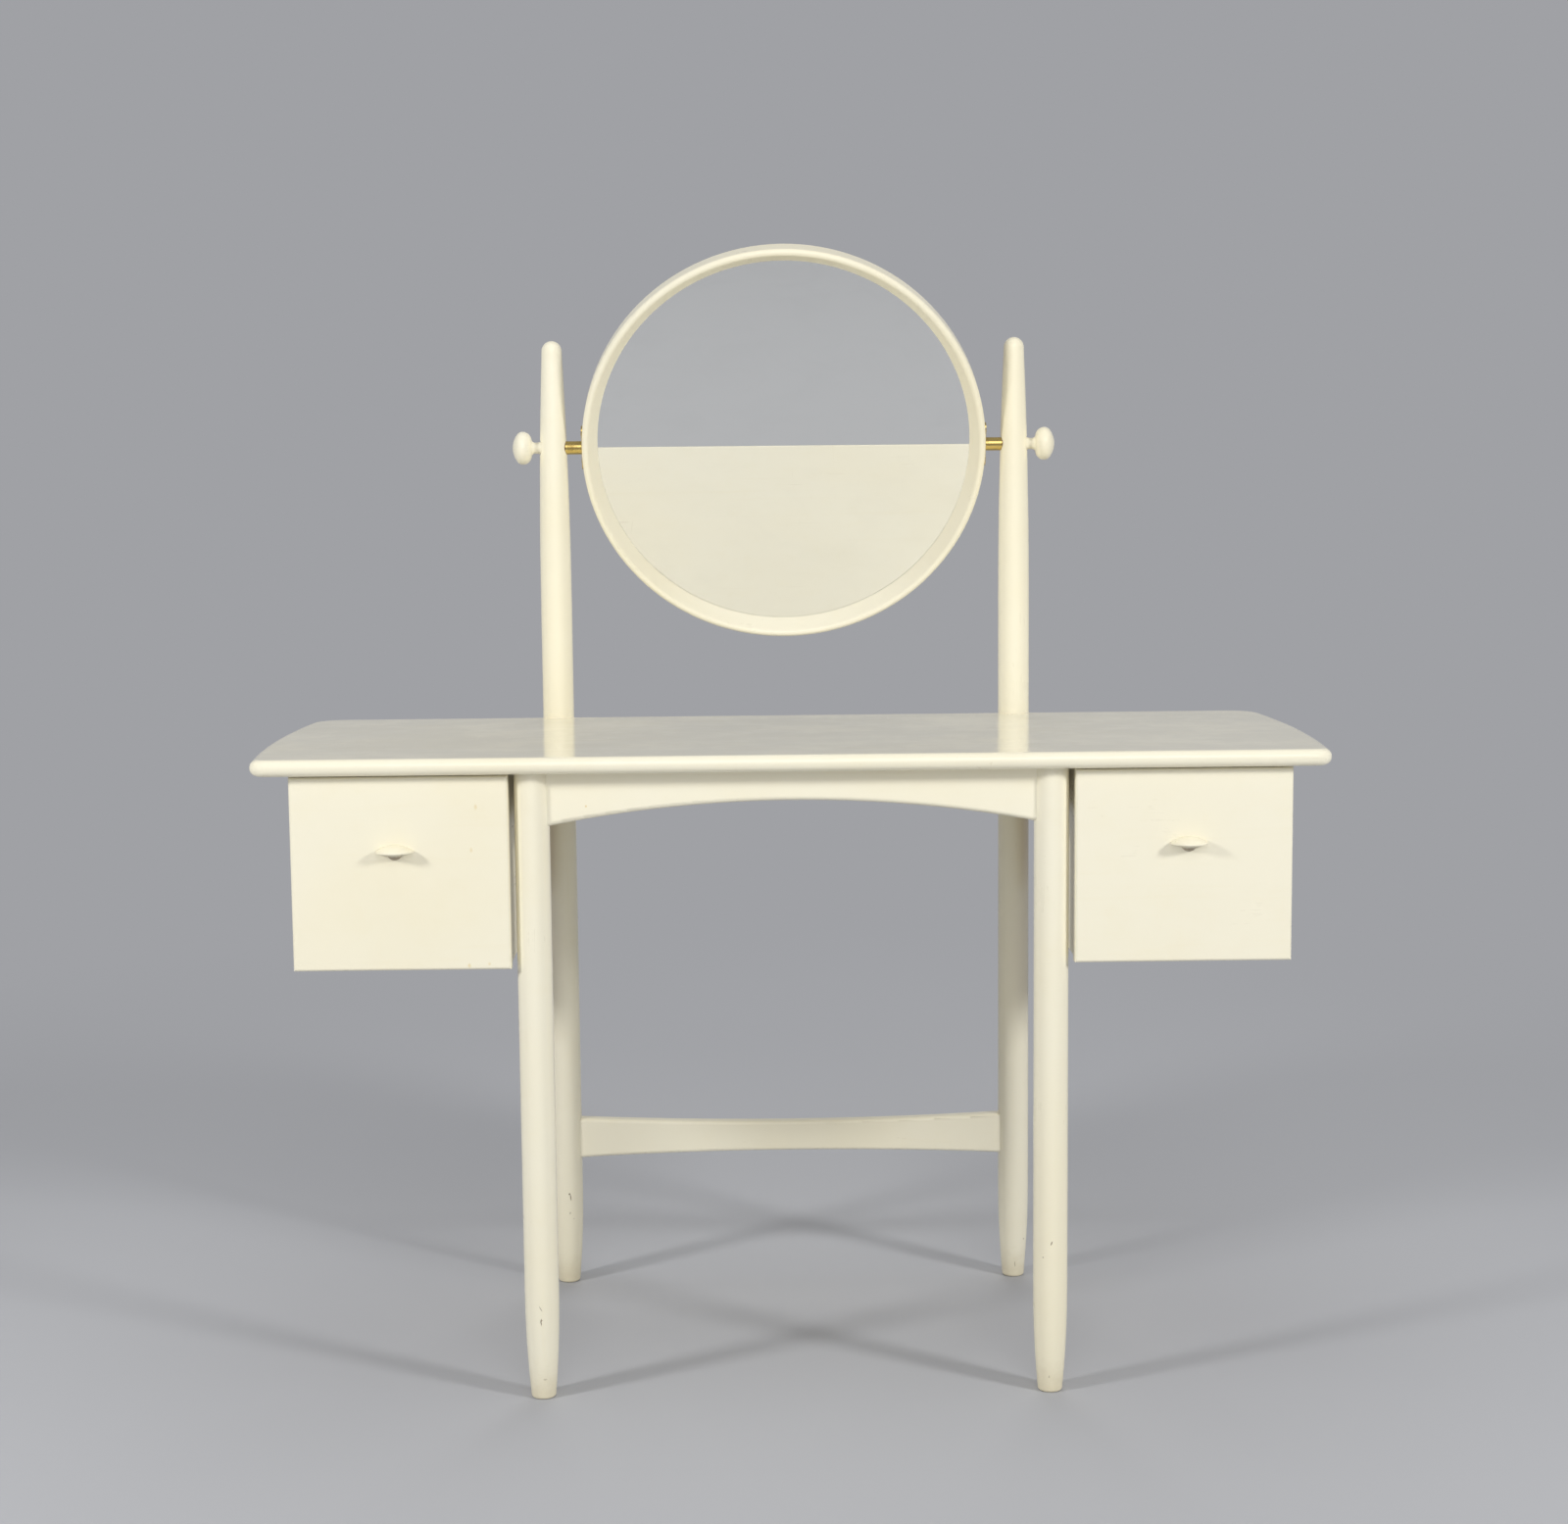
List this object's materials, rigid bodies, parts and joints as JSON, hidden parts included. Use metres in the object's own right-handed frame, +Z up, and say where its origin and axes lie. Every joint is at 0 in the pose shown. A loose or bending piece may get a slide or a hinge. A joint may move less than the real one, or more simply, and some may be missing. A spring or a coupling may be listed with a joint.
{
  "type": "dressing table with round mirror",
  "caption": "White-lacquered dressing table: boat-ended top, turned legs rising as posts that carry a round tilting mirror on clamp knobs, and drawers hung under each end.",
  "frame": {"origin": "on the floor under the middle of the whole object's box, the mirror leaning as pictured", "axes": "+X to the right of a person facing the front, +Y towards the back (posts and mirror), +Z up"},
  "size_m": [1.164, 0.5332, 1.2651],
  "materials": {
    "ivory_lacquer": "brushed ivory-white lacquer, satin to gloss",
    "plain_beech": "bare planed beech",
    "birch_plywood": "bare birch plywood",
    "hardboard": "brown hardboard",
    "aged_brass": "polished, lightly aged",
    "screw_steel": "plain steel",
    "fibre": "pressed red-brown fibre",
    "mirror_glass": "silvered glass"
  },
  "bodies": {
    "frame": {"table_top": "ivory_lacquer", "front_apron": "ivory_lacquer", "rear_apron": "ivory_lacquer", "rear_stretcher": "ivory_lacquer", "left_front_leg": "ivory_lacquer", "right_front_leg": "ivory_lacquer", "left_rear_post": "ivory_lacquer", "right_rear_post": "ivory_lacquer", "left_side_rail": "ivory_lacquer", "right_side_rail": "ivory_lacquer", "left_case_outer_side": "ivory_lacquer", "right_case_outer_side": "ivory_lacquer", "left_case_inner_side": "ivory_lacquer", "right_case_inner_side": "ivory_lacquer", "corner_blocks": "plain_beech", "frame_dowels": "plain_beech", "left_drawer_runners": "plain_beech", "right_drawer_runners": "plain_beech", "left_case_top": "birch_plywood", "right_case_top": "birch_plywood", "left_case_bottom": "birch_plywood", "right_case_bottom": "birch_plywood", "left_case_back": "hardboard", "right_case_back": "hardboard", "top_screws": "screw_steel", "runner_screws": "screw_steel", "friction_washers": "fibre"},
    "left_drawer": {"left_drawer_front": "ivory_lacquer", "left_drawer_inner_side": "plain_beech", "left_drawer_outer_side": "plain_beech", "left_drawer_back": "plain_beech", "left_drawer_bottom": "birch_plywood", "left_drawer_pull": "ivory_lacquer", "left_pull_screws": "screw_steel"},
    "right_drawer": {"right_drawer_front": "ivory_lacquer", "right_drawer_inner_side": "plain_beech", "right_drawer_outer_side": "plain_beech", "right_drawer_back": "plain_beech", "right_drawer_bottom": "birch_plywood", "right_drawer_pull": "ivory_lacquer", "right_pull_screws": "screw_steel"},
    "mirror": {"mirror_ring": "ivory_lacquer", "mirror_glass": "mirror_glass", "mirror_backboard": "hardboard", "backboard_pins": "screw_steel", "plate_screws": "aged_brass", "left_pivot_plate": "aged_brass", "right_pivot_plate": "aged_brass", "left_pivot_rod": "screw_steel", "right_pivot_rod": "screw_steel", "left_spacer_sleeve": "aged_brass", "right_spacer_sleeve": "aged_brass"},
    "left_knob": {"left_mirror_knob": "ivory_lacquer", "left_knob_insert": "aged_brass"},
    "right_knob": {"right_mirror_knob": "ivory_lacquer", "right_knob_insert": "aged_brass"}
  },
  "joints": [
    {"name": "left_drawer_slide", "type": "slide", "parent": "frame", "child": "left_drawer", "axis": [0, -1, 0], "range_m": [0, 0.26]},
    {"name": "right_drawer_slide", "type": "slide", "parent": "frame", "child": "right_drawer", "axis": [0, -1, 0], "range_m": [0, 0.26]},
    {"name": "mirror_tilt", "type": "hinge", "parent": "frame", "child": "mirror", "pos_m": [0, 0.17638, 1.031], "axis": [1, 0, 0], "continuous": true},
    {"name": "left_knob_turn", "type": "hinge", "parent": "mirror", "child": "left_knob", "pos_m": [-0.3, 0.17638, 1.031], "axis": [-1, 0, 0], "range_deg": [0, 360]},
    {"name": "right_knob_turn", "type": "hinge", "parent": "mirror", "child": "right_knob", "pos_m": [0.3, 0.17638, 1.031], "axis": [1, 0, 0], "range_deg": [0, 360]}
  ]
}
